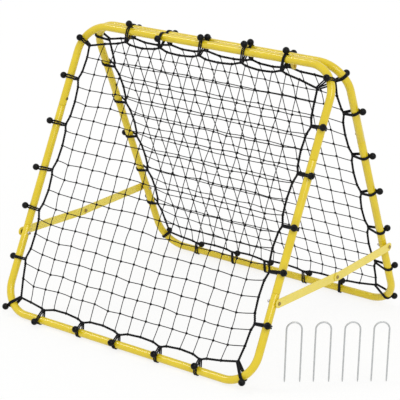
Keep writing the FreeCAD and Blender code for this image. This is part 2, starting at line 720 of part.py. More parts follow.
def corner_bungees(frame):
    name = f"{frame}_corner"
    cords = new_body(f"{name}_bungee_cords")
    place(cords, frame_place(frame))
    outline = corner_sketch(cords, f"{name}_cord_outline")
    draw_cord(outline, corner_depth, "0")
    cord = pad(cords, outline, f"{name}_cord", "cord_band")
    to_all_corners(cords, [cord], f"{name}_cord_set")
    balls = new_body(f"{name}_bungee_balls")
    place(balls, frame_place(frame))
    outline = corner_sketch(balls, f"{name}_ball_outline")
    draw_ball(outline, ball_beside_tube("ball_turn"), "0")
    prism = pad(balls, outline, f"{name}_ball_prism", "ball_diameter")
    prisms = to_all_corners(balls, [prism], f"{name}_ball_set")
    round_off(balls, prisms, f"{name}_ball_bevels")


# Ground stakes. Each is one wire bent into a hairpin, standing on its two tips.

def ground_stake(number):
    name = f"ground_stake_{number}"
    body = new_body(name)
    along = f"({number - 1} * stake_step)"
    spot = f"stake_row_x + {along} * cos(stake_row_turn); stake_row_y + {along} * sin(stake_row_turn); 0"
    place(body, f"placement(vector({spot}); rotation(vector(0; 0; 1); stake_row_turn))")
    half = "(stake_width / 2)"
    shoulder = f"(stake_height - stake_wire / 2 - {half})"
    path = new_sketch(body, "XZ_Plane", f"{name}_path")
    corners = [(f"-{half}", "0"), (f"-{half}", shoulder), (half, shoulder), (half, "0")]
    edges = draw_bent_line(path, corners, [("0", shoulder)])
    section = new_sketch(body, "XY_Plane", f"{name}_section")
    corners = regular_corners(8, "stake_wire", "0")
    draw_polygon(section, [(f"{across} - {half}", out) for across, out in corners])
    sweep(body, section, path, edges, f"{name}_wire")


for frame in ("front", "rear"):
    bent_tube(frame, "top")
    bent_tube(frame, "bottom")
    for hand in ("left", "right"):
        leg_tube(frame, hand)
    joint_screws(frame)
    hinge_ears(frame)
    stay_fasteners(frame)
    net_border(frame)
    field = net_field(frame)
    net_strands(frame, "upright", field)
    net_strands(frame, "level", field)
    across_turns = {"left": -90, "right": 90} if frame == "front" else {"left": 90, "right": -90}
    for hand, angle in across_turns.items():
        side_bungees(frame, hand, angle, ball_beside_tube("ball_turn"))
    top_turn = "ball_turn" if frame == "front" else "0"
    side_bungees(frame, "top", 0, ball_beside_tube(top_turn))
    side_bungees(frame, "bottom", 180, ball_beside_tube("0") if frame == "front" else ball_beside_net())
    corner_bungees(frame)
hinge_fasteners()
for hand in ("left", "right"):
    stay_bar("front", hand)
    stay_bar("rear", hand)
    middle_pivot(hand)
for number in range(1, 5):
    ground_stake(number)

document.recompute()
for item in document.Objects:
    if "Invalid" in item.State or "Error" in item.State:
        raise RuntimeError(f"{item.Name} failed: {item.State}")
for node in nodes:
    if node.Shape.isNull() or not node.Shape.isValid():
        raise RuntimeError(f"{node.Label} has no valid shape")
os.makedirs("parts", exist_ok=True)
for node in nodes:
    node.Shape.exportStep(f"parts/{node.Label}.step")
    print(node.Label, len(node.Shape.Solids), round(node.Shape.Volume))
print(len(nodes), "nodes")
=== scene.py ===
import json
import math

import bpy
import numpy as np
from mathutils import Matrix, Vector


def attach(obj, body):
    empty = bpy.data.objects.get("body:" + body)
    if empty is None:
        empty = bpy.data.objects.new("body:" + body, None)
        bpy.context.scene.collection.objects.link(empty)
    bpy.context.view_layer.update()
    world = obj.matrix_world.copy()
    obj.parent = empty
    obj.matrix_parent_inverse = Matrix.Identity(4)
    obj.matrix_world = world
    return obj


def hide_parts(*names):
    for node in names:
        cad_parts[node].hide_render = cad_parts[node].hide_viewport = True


# Pitch back rebounder: smooth tubes, twisted ropes, knotted nets, elastic bungees with their balls and
# bent wire stakes, built around the CAD model. Lengths are in millimetres until a piece is made.

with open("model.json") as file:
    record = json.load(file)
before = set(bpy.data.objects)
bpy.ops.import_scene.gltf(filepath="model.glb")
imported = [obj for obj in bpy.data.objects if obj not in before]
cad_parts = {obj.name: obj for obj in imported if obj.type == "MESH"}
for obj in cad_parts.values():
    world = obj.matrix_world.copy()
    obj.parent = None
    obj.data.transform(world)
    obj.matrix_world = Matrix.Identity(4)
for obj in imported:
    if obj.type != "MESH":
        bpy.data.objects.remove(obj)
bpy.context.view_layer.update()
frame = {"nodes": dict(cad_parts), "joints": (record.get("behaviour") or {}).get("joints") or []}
nodes = frame["nodes"]
hinge = next(joint for joint in frame["joints"] if joint["name"] == "frame_fold")
millimetre = 0.001


# Camera: its place (m), its turn to the right, height and roll and its angle of view (degrees), and how far
# it sees (m).
view = dict(place=(2.7806, -3.9000, 1.9303), turn=35.67, height=17.889, roll=1.403, angle=14.683, sight=100)


# The camera looks against the direction back, and is rolled about it from level.
def placeCamera():
    turn, height, roll = (math.radians(view[key]) for key in ("turn", "height", "roll"))
    back = Vector((math.sin(turn) * math.cos(height), -math.cos(turn) * math.cos(height), math.sin(height)))
    levelRight = Vector((math.cos(turn), math.sin(turn), 0))
    levelUp = back.cross(levelRight)
    right = math.cos(roll) * levelRight + math.sin(roll) * levelUp
    up = math.cos(roll) * levelUp - math.sin(roll) * levelRight
    camera = bpy.data.objects.new("camera", bpy.data.cameras.new("camera"))
    bpy.context.scene.collection.objects.link(camera)
    camera.matrix_world = Matrix.Translation(view["place"]) @ Matrix((right, up, back)).transposed().to_4x4()
    camera.data.sensor_fit = "HORIZONTAL"
    camera.data.angle = math.radians(view["angle"])
    camera.data.clip_end = view["sight"]
    bpy.context.scene.camera = camera


placeCamera()
print("camera placed")


# A surface is points (n, 3), lists of faces with equal corner counts, and sleeves: for each face corner
# its turn round the section (0 to 1) and its length along the path (mm).
sharpAngle = 50   # edges that turn by more than this many degrees stay sharp


# Each vector divided by its own length.
def unit(vectors):
    return vectors / np.linalg.norm(vectors, axis=-1, keepdims=True)


# Two directions across a path: rise is upright made square to the path, side is rise x path direction.
def acrossPath(path, upright, closed=False):
    if closed:
        ahead = unit(np.roll(path, -1, axis=-2) - np.roll(path, 1, axis=-2))
    else:
        ahead = unit(np.gradient(path, axis=-2))
    upright = np.broadcast_to(np.asarray(upright, float), path.shape)
    rise = unit(upright - np.sum(upright * ahead, axis=-1, keepdims=True) * ahead)
    return np.cross(rise, ahead), rise


# Section carried along each path: ring point = path point + section x * side + section y * rise.
# path, side and rise are (runs, rings, 3), section is (..., points, 2). Open runs get flat end caps.
def carried(path, side, rise, section, closed=False):
    runs, rings = path.shape[:2]
    section = np.broadcast_to(section, (runs, rings) + section.shape[-2:])
    count = section.shape[2]
    points = path[:, :, None] + section[..., :1] * side[:, :, None] + section[..., 1:] * rise[:, :, None]
    run = np.arange(runs)[:, None, None] * rings * count
    ring = np.arange(rings if closed else rings - 1)[None, :, None]
    spot = np.arange(count)[None, None, :]
    here = run + ring * count
    ahead = run + (ring + 1) % rings * count
    following = (spot + 1) % count
    quads = np.stack([here + spot, here + following, ahead + following, ahead + spot], axis=-1)
    steps = np.linalg.norm(np.diff(path, axis=1, append=path[:, :1]), axis=-1)
    length = np.concatenate([np.zeros((runs, 1)), np.cumsum(steps, axis=1)], axis=1)
    near = length[:, :ring.shape[1], None] + 0.0 * spot
    far = length[:, 1:ring.shape[1] + 1, None] + 0.0 * spot
    turn = np.broadcast_to(spot / count, near.shape)
    nextTurn = turn + 1 / count
    corners = np.stack([np.stack([turn, near], -1), np.stack([nextTurn, near], -1),
                        np.stack([nextTurn, far], -1), np.stack([turn, far], -1)], axis=-2)
    faces = [quads.reshape(-1, 4)]
    sleeves = [corners.reshape(-1, 4, 2)]
    if not closed:
        first = run[:, 0] + np.arange(count)[::-1]
        last = run[:, 0] + (rings - 1) * count + np.arange(count)
        faces.append(np.concatenate([first, last]))
        sleeves.append(np.zeros((2 * runs, count, 2)))
    return dict(points=points.reshape(-1, 3), faces=faces, sleeves=sleeves)


# Several surfaces as one: each one's faces count on from the points before it.
def joined(surfaces):
    starts = np.cumsum([0] + [len(surface["points"]) for surface in surfaces])
    faces = [face + start for surface, start in zip(surfaces, starts) for face in surface["faces"]]
    sleeves = [sleeve for surface in surfaces for sleeve in surface["sleeves"]]
    return dict(points=np.concatenate([s["points"] for s in surfaces]), faces=faces, sleeves=sleeves)


# Circle of the radius, as points of a section.
def roundSection(radius, count):
    turn = np.arange(count) / count * 2 * math.pi
    return np.asarray(radius)[..., None, None] * np.stack([np.cos(turn), np.sin(turn)], axis=-1)


# Points at equal distances along a line, straight between its own points.
def evenly(line, count, closed=False):
    line = np.concatenate([line, line[:1]]) if closed else line
    length = np.concatenate([[0], np.cumsum(np.linalg.norm(np.diff(line, axis=0), axis=-1))])
    at = np.linspace(0, length[-1], count + 1)[:-1] if closed else np.linspace(0, length[-1], count)
    return np.stack([np.interp(at, length, line[:, k]) for k in range(line.shape[1])], axis=-1)


# Sum of the distances between the points of a line.
def lineLength(line):
    return float(np.sum(np.linalg.norm(np.diff(line, axis=0), axis=-1)))


# Mesh object of a surface, in metres, with its sleeve as UV map, which rides on a body.
def makePiece(name, surface, material, body, replaced=()):
    mesh = bpy.data.meshes.new(name)
    points = surface["points"] * millimetre
    corners = np.concatenate([face.ravel() for face in surface["faces"]])
    counts = np.concatenate([np.full(len(face), face.shape[1]) for face in surface["faces"]])
    mesh.vertices.add(len(points))
    mesh.vertices.foreach_set("co", points.astype(np.float32).ravel())
    mesh.loops.add(len(corners))
    mesh.loops.foreach_set("vertex_index", corners.astype(np.int32))
    mesh.polygons.add(len(counts))
    mesh.polygons.foreach_set("loop_start", (np.cumsum(counts) - counts).astype(np.int32))
    sleeve = np.concatenate([sleeve.reshape(-1, 2) for sleeve in surface["sleeves"]]) * (1, millimetre)
    mesh.uv_layers.new(name="sleeve").data.foreach_set("uv", sleeve.astype(np.float32).ravel())
    mesh.update(calc_edges=True)
    mesh.validate()
    mesh.shade_smooth()
    mesh.set_sharp_from_angle(angle=math.radians(sharpAngle))
    mesh.materials.append(material)
    piece = bpy.data.objects.new(name, mesh)
    bpy.context.scene.collection.objects.link(piece)
    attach(piece, body)
    if replaced:
        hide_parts(*replaced)
    return piece


# Each frame is drawn flat: across it, up from its middle and out of its plane, away from the other frame.
# width and length are between the tubes' middle lines, and tube is their radius. The hinge lies offset from
# the plane and drop under the top rail, and the middle of each spigot lies joint from the nearest rail.
frameSizes = dict(width=975, length=975, bend=95, tube=12.5, wall=1.2, lean=25, offset=27.5, drop=12.5,
                  joint=258, spigot=50, neck=3, spigotGap=0.15)
half = frameSizes["width"] / 2
sides = ("top", "bottom", "left", "right")


# Flat frame to its place: hung from the hinge, turned about its axis by the lean, and for the rear frame
# by half a turn about the upright.
def inShared(frameName, surface):
    across, up, out = surface["points"].T
    deep = -frameSizes["offset"] - out
    high = frameSizes["drop"] - frameSizes["length"] / 2 + up
    lean = math.radians(frameSizes["lean"])
    facing = 1 if frameName == "front" else -1
    points = np.stack([facing * across,
                       facing * (deep * math.cos(lean) + high * math.sin(lean)),
                       high * math.cos(lean) - deep * math.sin(lean)], axis=-1)
    surface["points"] = points + np.asarray(hinge["pos_m"]) / millimetre
    return surface


# Hex sRGB to linear: value / 12.92 below 0.04045, else ((value + 0.055) / 1.055) ^ 2.4.
def colour(text):
    parts = [int(text[k:k + 2], 16) / 255 for k in (1, 3, 5)]
    return tuple(p / 12.92 if p < 0.04045 else ((p + 0.055) / 1.055) ** 2.4 for p in parts) + (1,)


# Adds a node; settings are properties or input values, links are sockets for its inputs.
def addNode(tree, kind, settings=(), links=()):
    node = tree.nodes.new(kind)
    for key, value in dict(settings).items():
        if isinstance(key, str) and hasattr(node, key):
            setattr(node, key, value)
        else:
            node.inputs[key].default_value = value
    for key, socket in dict(links).items():
        tree.links.new(socket, node.inputs[key])
    return node


# Material with one Principled shader, whose settings are its sockets' names with _ for a space.
def newMaterial(name, **shader):
    material = bpy.data.materials.new(name)
    material.use_nodes = True
    tree = material.node_tree
    surface = tree.nodes["Principled BSDF"]
    for key, value in shader.items():
        surface.inputs[key.replace("_", " ")].default_value = value
    return material, tree, surface


# A cloudy pattern on the object's own coordinates, its patches a grain (mm) wide, between two values.
def cloud(tree, grain, low, high, detail=3):
    place = addNode(tree, "ShaderNodeTexCoord")
    noise = addNode(tree, "ShaderNodeTexNoise", {"Scale": 1000 / grain, "Detail": detail},
                    {"Vector": place.outputs["Object"]})
    stretch = {"From Min": 0.3, "From Max": 0.7, "To Min": low, "To Max": high}
    return addNode(tree, "ShaderNodeMapRange", stretch, {"Value": noise.outputs["Fac"]}).outputs["Result"]


# Colour between two hex values: sockets 6, 7 and output 2 are the colour ones of a Mix node.
def shades(tree, factor, first, second):
    ends = {"data_type": "RGBA", 6: colour(first), 7: colour(second)}
    return addNode(tree, "ShaderNodeMix", ends, {0: factor}).outputs[2]


# Bump whose crests stand the distance (mm) proud.
def raised(tree, surface, height, distance, strength=1.0):
    bump = addNode(tree, "ShaderNodeBump", {"Distance": distance * millimetre, "Strength": strength},
                   {"Height": height})
    tree.links.new(bump.outputs["Normal"], surface.inputs["Normal"])


# Powder coat baked on steel: an even, fairly glossy skin, its colour and gloss a little cloudy, with the
# faint waves called orange peel. They are 1.5 mm apart on real tube and drawn 4 mm apart so that they show.
def powderCoatedSteel(name, main, deep):
    material, tree, surface = newMaterial(name, Roughness=0.32, Specular_IOR_Level=0.25, Coat_Weight=0.6,
                                          Coat_Roughness=0.1)
    tree.links.new(shades(tree, cloud(tree, 45, 0, 1), main, deep), surface.inputs["Base Color"])
    tree.links.new(cloud(tree, 18, 0.27, 0.38), surface.inputs["Roughness"])
    raised(tree, surface, cloud(tree, 4, 0, 1, 1), 0.04, 0.4)
    return material


# Zinc plating on steel: a metal with cloudy gloss. It is silvery where it is clear and gold to straw brown
# where it was passivated yellow; the dark brown copy on the joint screws is painted shade.
def zincPlatedSteel(name, main, deep):
    material, tree, surface = newMaterial(name, Metallic=1.0)
    tree.links.new(shades(tree, cloud(tree, 5, 0, 1), main, deep), surface.inputs["Base Color"])
    tree.links.new(cloud(tree, 2, 0.36, 0.52), surface.inputs["Roughness"])
    raised(tree, surface, cloud(tree, 1.2, 0, 1), 0.02, 0.5)
    return material


# Hot-dip galvanised steel wire: pale grey zinc in patches 4 mm wide, some brighter than others, and rough.
def galvanisedWire():
    material, tree, surface = newMaterial("galvanised_steel_wire", Metallic=0.6)
    place = addNode(tree, "ShaderNodeTexCoord")
    spangle = addNode(tree, "ShaderNodeTexVoronoi", {"Scale": 1000 / 4}, {"Vector": place.outputs["Object"]})
    greys = shades(tree, spangle.outputs["Distance"], "#C8CACB", "#B0B2B3")
    tree.links.new(greys, surface.inputs["Base Color"])
    tree.links.new(cloud(tree, 3, 0.35, 0.55), surface.inputs["Roughness"])
    raised(tree, surface, cloud(tree, 1.5, 0, 1), 0.04, 0.6)
    return material


# Injection-moulded nylon: a hard black plastic with a soft gloss and slight flow marks.
def mouldedPlastic(name, main, deep, gloss):
    material, tree, surface = newMaterial(name, Roughness=gloss, Specular_IOR_Level=0.14)
    tree.links.new(shades(tree, cloud(tree, 8, 0, 1), main, deep), surface.inputs["Base Color"])
    tree.links.new(cloud(tree, 4, gloss - 0.06, gloss + 0.08), surface.inputs["Roughness"])
    raised(tree, surface, cloud(tree, 0.8, 0, 1), 0.02, 0.4)
    return material


# Slanting ribs on a cord, from 0 to 1: 0.5 + 0.5 * sin(2 pi * (ribs round it * turn + length / pitch)).
def ribs(tree, around, pitch):
    sleeve = addNode(tree, "ShaderNodeUVMap", {"uv_map": "sleeve"})
    turned = addNode(tree, "ShaderNodeVectorMath", {"operation": "DOT_PRODUCT", 1: (around, 1000 / pitch, 0)},
                     {0: sleeve.outputs["UV"]})
    angle = addNode(tree, "ShaderNodeMath", {"operation": "MULTIPLY", 1: 2 * math.pi},
                    {0: turned.outputs["Value"]})
    wave = addNode(tree, "ShaderNodeMath", {"operation": "SINE"}, {0: angle.outputs[0]})
    return addNode(tree, "ShaderNodeMath", {"operation": "MULTIPLY_ADD", 1: 0.5, 2: 0.5},
                   {0: wave.outputs[0]}).outputs[0]


# Elastic cord in a braided polyester sleeve: crossing threads that catch the light in dots. Real threads lie
# 0.5 mm apart; they are drawn 2 mm apart so that they show.
def braidedElastic():
    material, tree, surface = newMaterial("braided_elastic_cord", Roughness=0.6, Specular_IOR_Level=0.12)
    threads = addNode(tree, "ShaderNodeMath", {"operation": "MAXIMUM"},
                      {0: ribs(tree, 6, 4), 1: ribs(tree, -6, 4)}).outputs[0]
    tree.links.new(shades(tree, threads, "#08080A", "#1B1B1F"), surface.inputs["Base Color"])
    tree.links.new(cloud(tree, 6, 0.52, 0.68), surface.inputs["Roughness"])
    raised(tree, surface, threads, 0.25)
    return material


# Twisted polypropylene rope or nylon twine: yarns that wind round it, their colour lighter on the crests, a
# painted sheen, and darker between, a painted shade. Real yarns lie 1 mm or less apart; they are drawn about
# 2 mm apart so that they show.
def twistedYarn(name, around, pitch, main, deep):
    material, tree, surface = newMaterial(name, Roughness=0.6, Specular_IOR_Level=0.12)
    yarns = ribs(tree, around, pitch)
    # Base colour: painted sheen on the yarn crests and painted shade between them.
    tree.links.new(shades(tree, yarns, deep, main), surface.inputs["Base Color"])
    tree.links.new(cloud(tree, 9, 0.42, 0.6), surface.inputs["Roughness"])
    raised(tree, surface, yarns, 0.12)
    return material


tubeCoat = powderCoatedSteel("powder_coated_steel_tube", "#DEC51E", "#D7BD18")
# The stay bars wear the tubes' own powder coat, painted paler: a painted highlight for the light their flat
# faces catch.
litBarCoat = powderCoatedSteel("powder_coated_steel_bar_painted_lighter", "#E8D452", "#E3CE48")
zinc = zincPlatedSteel("yellow_zinc_plated_steel", "#AC9664", "#8E784C")
brightZinc = zincPlatedSteel("bright_yellow_zinc_plated_steel", "#D8B64C", "#BE9C3A")
clearZinc = zincPlatedSteel("clear_zinc_plated_steel", "#CFCDD3", "#B8B6BE")
# The joint screws' zinc is painted dark brown: painted shade for screws that sit in shade.
shadedZinc = zincPlatedSteel("zinc_plated_steel_painted_shade", "#6A5D3C", "#51472E")
wire = galvanisedWire()
spacerNylon = mouldedPlastic("moulded_nylon_spacer", "#17171A", "#101012", 0.42)
ballNylon = mouldedPlastic("moulded_nylon_ball", "#0B0B0D", "#070708", 0.34)
elastic = braidedElastic()
rope = twistedYarn("twisted_polypropylene_rope", 9, 2.4, "#141417", "#050506")
twine = twistedYarn("twisted_nylon_twine", 3, 4, "#141417", "#050506")
print("materials made")


# lip is the rounding of a cut end, and past is how much deeper than the reduced leg end the bore reaches.
tubeSizes = dict(sidesRound=48, bendRings=30, neckRings=7, lip=0.4, past=5)


# Bent tube: its line goes up a leg, round a quarter circle, along the rail and down the other side. The
# section is a circle, and at each cut end the wall turns over a lip into the bore.
def bentTube(end):
    tall = 1 if end == "top" else -1
    bend = frameSizes["bend"]
    bore = frameSizes["tube"] - frameSizes["wall"]
    foot = frameSizes["length"] / 2 - frameSizes["joint"] - frameSizes["spigot"] / 2
    lip = tubeSizes["lip"]
    halfLip = lip * 0.3   # the middle of a quarter circle lies 0.3 of its radius from both faces
    depth = frameSizes["spigot"] + tubeSizes["past"]
    turn = np.linspace(0, math.pi / 2, tubeSizes["bendRings"])
    arc = np.stack([half - bend + bend * np.cos(turn), half - bend + bend * np.sin(turn)], axis=-1)
    ends = np.array([[half, foot + depth], [half, foot], [half, foot], [half, foot + halfLip],
                     [half, foot + lip]])
    right = np.concatenate([ends, arc])
    heading = np.concatenate([np.tile([0.0, 1.0], (len(ends), 1)),
                              np.stack([-np.sin(turn), np.cos(turn)], axis=-1)])
    radius = np.concatenate([[bore, bore, frameSizes["tube"] - lip, frameSizes["tube"] - halfLip],
                             np.full(len(arc) + 1, frameSizes["tube"])])
    line = np.concatenate([right, right[::-1] * (-1, 1)])
    heading = np.concatenate([heading, heading[::-1] * (1, -1)])
    radius = np.concatenate([radius, radius[::-1]])
    line, heading = line * (1, tall), heading * (1, tall)
    if tall < 0:
        line, heading = line[::-1], -heading[::-1]
    path = np.concatenate([line, np.zeros((len(line), 1))], axis=-1)[None]
    ahead = np.concatenate([heading, np.zeros((len(line), 1))], axis=-1)[None]
    rise = np.broadcast_to([0.0, 0.0, 1.0], path.shape)
    return carried(path, np.cross(rise, ahead), rise, roundSection(radius[None], tubeSizes["sidesRound"]))


# Leg tube: straight, with both ends pressed down over a short neck to slide into the bent tubes. Radius in
# the neck = tip + (outer - tip) * (3 * share^2 - 2 * share^3).
def legTube(across):
    joint = frameSizes["length"] / 2 - frameSizes["joint"] - frameSizes["spigot"] / 2
    outer = frameSizes["tube"]
    tip = outer - frameSizes["wall"] - frameSizes["spigotGap"]
    share = np.linspace(0, 1, tubeSizes["neckRings"])
    neck = tip + (outer - tip) * (3 * share ** 2 - 2 * share ** 3)
    low = np.concatenate([[-joint - frameSizes["spigot"]], -joint + frameSizes["neck"] * share])
    radius = np.concatenate([[tip], neck])
    up = np.concatenate([low, -low[::-1]])
    radius = np.concatenate([radius, radius[::-1]])
    path = np.stack([np.full(len(up), across), up, np.zeros(len(up))], axis=-1)[None]
    side = np.broadcast_to([0.0, 0.0, 1.0], path.shape)
    rise = np.broadcast_to([1.0, 0.0, 0.0], path.shape)
    return carried(path, side, rise, roundSection(radius[None], tubeSizes["sidesRound"]))


for name in ("front", "rear"):
    body = f"{name}_frame"
    for end in ("top", "bottom"):
        node = f"{name}_{end}_rail_tube"
        makePiece(f"{node}_finished", inShared(name, bentTube(end)), tubeCoat, body,
                  [node])
    for hand in ("left", "right"):
        node = f"{name}_{hand}_leg_tube"
        across = half if (hand == "right") == (name == "front") else -half
        makePiece(f"{node}_finished", inShared(name, legTube(across)), tubeCoat, body,
                  [node])
print("tubes made")


# Each bungee, left to right on rails and top to bottom on legs: how far the rope has slid along the tube
# from its even place, how far in from the tube's middle it lies (mm), the ball's turn round the tube, from
# straight out of the plane towards away from the net (degrees), the ball's own slide (mm), and half the
# distance between the cord's two strands (mm). A corner has the last three, and its rope in ropeCorners.
bungeePlaces = {
    "front_top": [(2, 37, 48, 8, 3.8), (-13, 35.5, -28, -14, 2.9), (-11, 37, 34, -8, 3.8),
                  (-3, 35.5, 44, 1, 3.8), (-8, 37.5, 56, -2, 2.7)],
    "front_bottom": [(-21.5, 32, 22, -25, 3.8), (-11.5, 31, -14, -11, 3.8), (-16.5, 29, -2, -17, 3.8),
                     (-9, 32, -16, -6, 3.8), (-11, 33, -22, -8, 3.8)],
    "front_left": [(5, 34, 82, 2, 4.2), (8, 36.5, 30, 8, 4.2), (9.5, 34, 46, 14, 4.2),
                   (-5, 28, 34, -8, 3.8), (8, 29, 98, 9, 2.7)],
    "front_right": [(4, 36, 36, 4, 3), (-2.5, 37, 46, -2, 3), (5.5, 40, 30, 5, 2.7),
                    (-6.5, 41, 42, -13, 2.7), (0.5, 41.5, 34, -5, 3)],
    "front_corner": [(-10, -3, 3.8), (4, -11, 3.8), (58, 5, 2.7), (48, -8, 2.8)],
    "rear_top": [(-23, 38, -26, -9, 2.7), (-26.5, 38.5, -22, -14, 2.7), (-35, 37, 110, -6, 2.7),
                 (-15.5, 39.5, 90, -1, 2.7), (-28, 42, -16, -19, 2.7)],
    "rear_bottom": [(-21, 33.5, -8, -27, 5), (-15, 35, -18, -18, 2.7), (-30, 33, -8, -29, 2.7),
                    (-22, 33, -4, -21, 5), (-24.5, 36, -24, -37, 2.7)],
    "rear_left": [(-5, 31.5, 52, -25, 2.7), (-7.5, 30, 60, -17, 2.7), (-13.5, 30, 78, -11, 2.7),
                  (-12, 30, 46, -16, 2.7), (-8.5, 27, 58, -20, 2.7)],
    "rear_right": [(4.5, 42, 86, -14, 2.7), (15, 43, 76, 9, 2.7), (17, 41, 78, -2, 2.7),
                   (8.5, 42, 30, 17, 2.7), (6, 44, 28, 27, 2.7)],
    "rear_corner": [(54, 18, 2.7), (-16, 3, 2.7), (10, -1, 2.7), (56, 6, 2.7)],
}
# Rope at the corner bungees, to the right and up: top left, top right, bottom left, bottom right.
ropeCorners = dict(front=[(-445.5, 417), (436.5, 416), (-430.5, -438), (425, -426)],
                   rear=[(-439.5, 426), (439.5, 424.5), (-444.5, -431.5), (424.5, -425)])
bungeePitch = 153.0   # three meshes of the net
bungeeSpots = np.arange(-2, 3) * bungeePitch


# Two directions of a side in its frame: along it, to the right or down as the player sees it, and away from
# the net.
def sideDirections(name, side):
    facing = 1 if name == "front" else -1
    if side in ("top", "bottom"):
        return np.array([facing, 0.0]), np.array([0.0, 1.0 if side == "top" else -1.0])
    return np.array([0.0, -1.0]), np.array([facing if side == "right" else -facing, 0.0])


# A place or direction in the frame's plane, with 0 out of it.
def inPlane(direction):
    return np.array([*direction, 0.0])


# For each bungee of a side: tube centre, direction along the tube, direction away from the net, the rope's
# slide and gap, the ball's turn and slide, and the half distance of the strands. At a corner, away points
# from the bend's middle to the rope.
def bungeeSeats(name, side):
    places = bungeePlaces[f"{name}_{side}"]
    if side != "corner":
        along, away = sideDirections(name, side)
        return [(inPlane(spot * along + half * away), inPlane(along), inPlane(away), *place)
                for spot, place in zip(bungeeSpots, places)]
    facing = 1 if name == "front" else -1
    bend = frameSizes["bend"]
    seats = []
    for (x, y), place in zip(ropeCorners[name], places):
        corner = np.sign([facing * x, y])
        spoke = np.abs([x, y]) - (half - bend)
        away = unit(spoke) * corner
        along = np.array([away[1], -away[0]]) * corner.prod()
        centre = corner * (half - bend) + bend * away
        gap = bend - np.linalg.norm(spoke)
        seats.append((inPlane(centre), inPlane(along), inPlane(away), 0, gap, *place))
    return seats


# The net hangs in from the straight line between two bungees by hang, mostly within hangOver of each. The
# real rope is 5 mm thick and the real twine 2 mm; both are drawn thicker so that they show. Loosenesses are
# the spread of the knots, of whole rows and of the strand ends. core is a square that the border is outside.
netSizes = dict(mesh=51, endSpacing=50.2, strands=16, hang=13, hangOver=21, core=340, seed=40,
                ropeRadius=3.8, ropeLay=19, ropeSides=15, rounding=3.0, borderPoints=4096, ringStep=2.2,
                twineRadius=1.45, twineSides=6, spanParts=6, bow=0.7, outwardBow=3.0,
                looseness=1.5, rowLooseness=0.9, endLooseness=0.75)
strandSteps = np.arange(netSizes["strands"]) - (netSizes["strands"] - 1) / 2
# How far the middle of the strand ends lies along each side, to the right or down.
strandEnds = dict(front=dict(top=-8, bottom=-10, left=0, right=0),
                  rear=dict(top=-9.4, bottom=-18.6, left=-3, right=11.6))
# How far the middle of the knots lies to the right and up.
netMiddles = dict(front=(-8, -6.5), rear=(-6, -8.4))


# Border line, closed: on each side a peak at each bungee and a drawn-in point at each strand, with the
# corners between the sides. Depth at a strand = gap of the peaks beside it + hang * (1 - e^(-distance to the
# nearest peak / hangOver)), or the straight line between its peaks or corner where that is deeper. The line
# is smoothed by a bell curve as wide as the rounding, and divided evenly.
def borderLine(name):
    facing = 1 if name == "front" else -1
    corners = np.array(ropeCorners[name]) * (facing, 1)
    points = [corners]
    for side in sides:
        along, away = sideDirections(name, side)
        near = corners[corners @ away > 0]
        near = near[np.argsort(near @ along)]
        slide, gap = np.array(bungeePlaces[f"{name}_{side}"])[:, :2].T
        peaks = bungeeSpots + slide
        ends = strandEnds[name][side] + strandSteps * netSizes["endSpacing"]
        fromPeak = np.abs(ends[:, None] - peaks).min(axis=1)
        hang = netSizes["hang"] * (1 - np.exp(-fromPeak / netSizes["hangOver"]))
        depth = np.interp(ends, peaks, gap) + hang
        straight = np.interp(ends, np.insert(near @ along, 1, peaks), np.insert(half - near @ away, 1, gap))
        depth = np.maximum(depth, straight)
        place = np.concatenate([peaks, ends])[:, None]
        points.append(place * along + (half - np.concatenate([gap, depth]))[:, None] * away)
    line = np.concatenate(points)
    line = line[np.argsort(-np.arctan2(line[:, 1], line[:, 0]))]
    fine = evenly(line, netSizes["borderPoints"], closed=True)
    step = lineLength(np.concatenate([line, line[:1]])) / len(fine)
    waves = np.fft.fftfreq(len(fine), d=step)
    bell = np.exp(-2 * (math.pi * netSizes["rounding"] * waves) ** 2)
    fine = np.fft.ifft(np.fft.fft(fine, axis=0) * bell[:, None], axis=0).real
    return evenly(fine, int(lineLength(fine) / netSizes["ringStep"]), closed=True)


# Three-strand rope: outline of three touching circles, turned once in each lay as it goes along. Each lobe's
# outline = reach * cos(turn from its middle) + sqrt(lobe^2 - (reach * sin(turn from its middle))^2).
def ropeSection(length):
    turn = np.arange(netSizes["ropeSides"]) / netSizes["ropeSides"] * 2 * math.pi
    lobe = netSizes["ropeRadius"] / (1 + 2 / math.sqrt(3))
    reach = lobe * 2 / math.sqrt(3)
    lobeTurn = (turn[None] - length[:, None] / netSizes["ropeLay"] * 2 * math.pi) % (2 * math.pi / 3)
    lobeTurn = lobeTurn - math.pi / 3
    radius = reach * np.cos(lobeTurn) + np.sqrt(lobe ** 2 - (reach * np.sin(lobeTurn)) ** 2)
    return radius[..., None] * np.stack([np.cos(turn), np.sin(turn)], axis=-1)


# Rope along the border line, with its lay stretched a little so that a whole number of turns meet.
def netBorder(line):
    path = np.concatenate([line, np.zeros((len(line), 1))], axis=-1)[None]
    side, rise = acrossPath(path, (0, 0, 1), closed=True)
    steps = np.linalg.norm(np.diff(path[0], axis=0, append=path[0, :1]), axis=-1)
    length = np.cumsum(steps) - steps
    lays = round(steps.sum() / netSizes["ropeLay"])
    section = ropeSection(length * lays * netSizes["ropeLay"] / steps.sum())
    return carried(path, side, rise, section[None], closed=True)


# Knots stand on the square grid, whose outer rows bow outwards, each a little out of place as knots tied
# by hand are. Bow = outwardBow * u^3 * (1 - v^2), with u and v from -1 to 1 across the net and along the row.
def knotGrid(name, random):
    facing = 1 if name == "front" else -1
    share = strandSteps / strandSteps[-1]
    share = np.stack(np.meshgrid(share, share, indexing="ij"), axis=-1)
    grid = share * strandSteps[-1] * netSizes["mesh"] + np.array(netMiddles[name]) * (facing, 1)
    grid += netSizes["outwardBow"] * share ** 3 * (1 - share[..., ::-1] ** 2)
    rows = random.normal(0, netSizes["rowLooseness"], (2, netSizes["strands"]))
    grid[..., 0] += rows[0][:, None]
    grid[..., 1] += rows[1][None, :]
    return grid + random.normal(0, netSizes["looseness"], grid.shape)


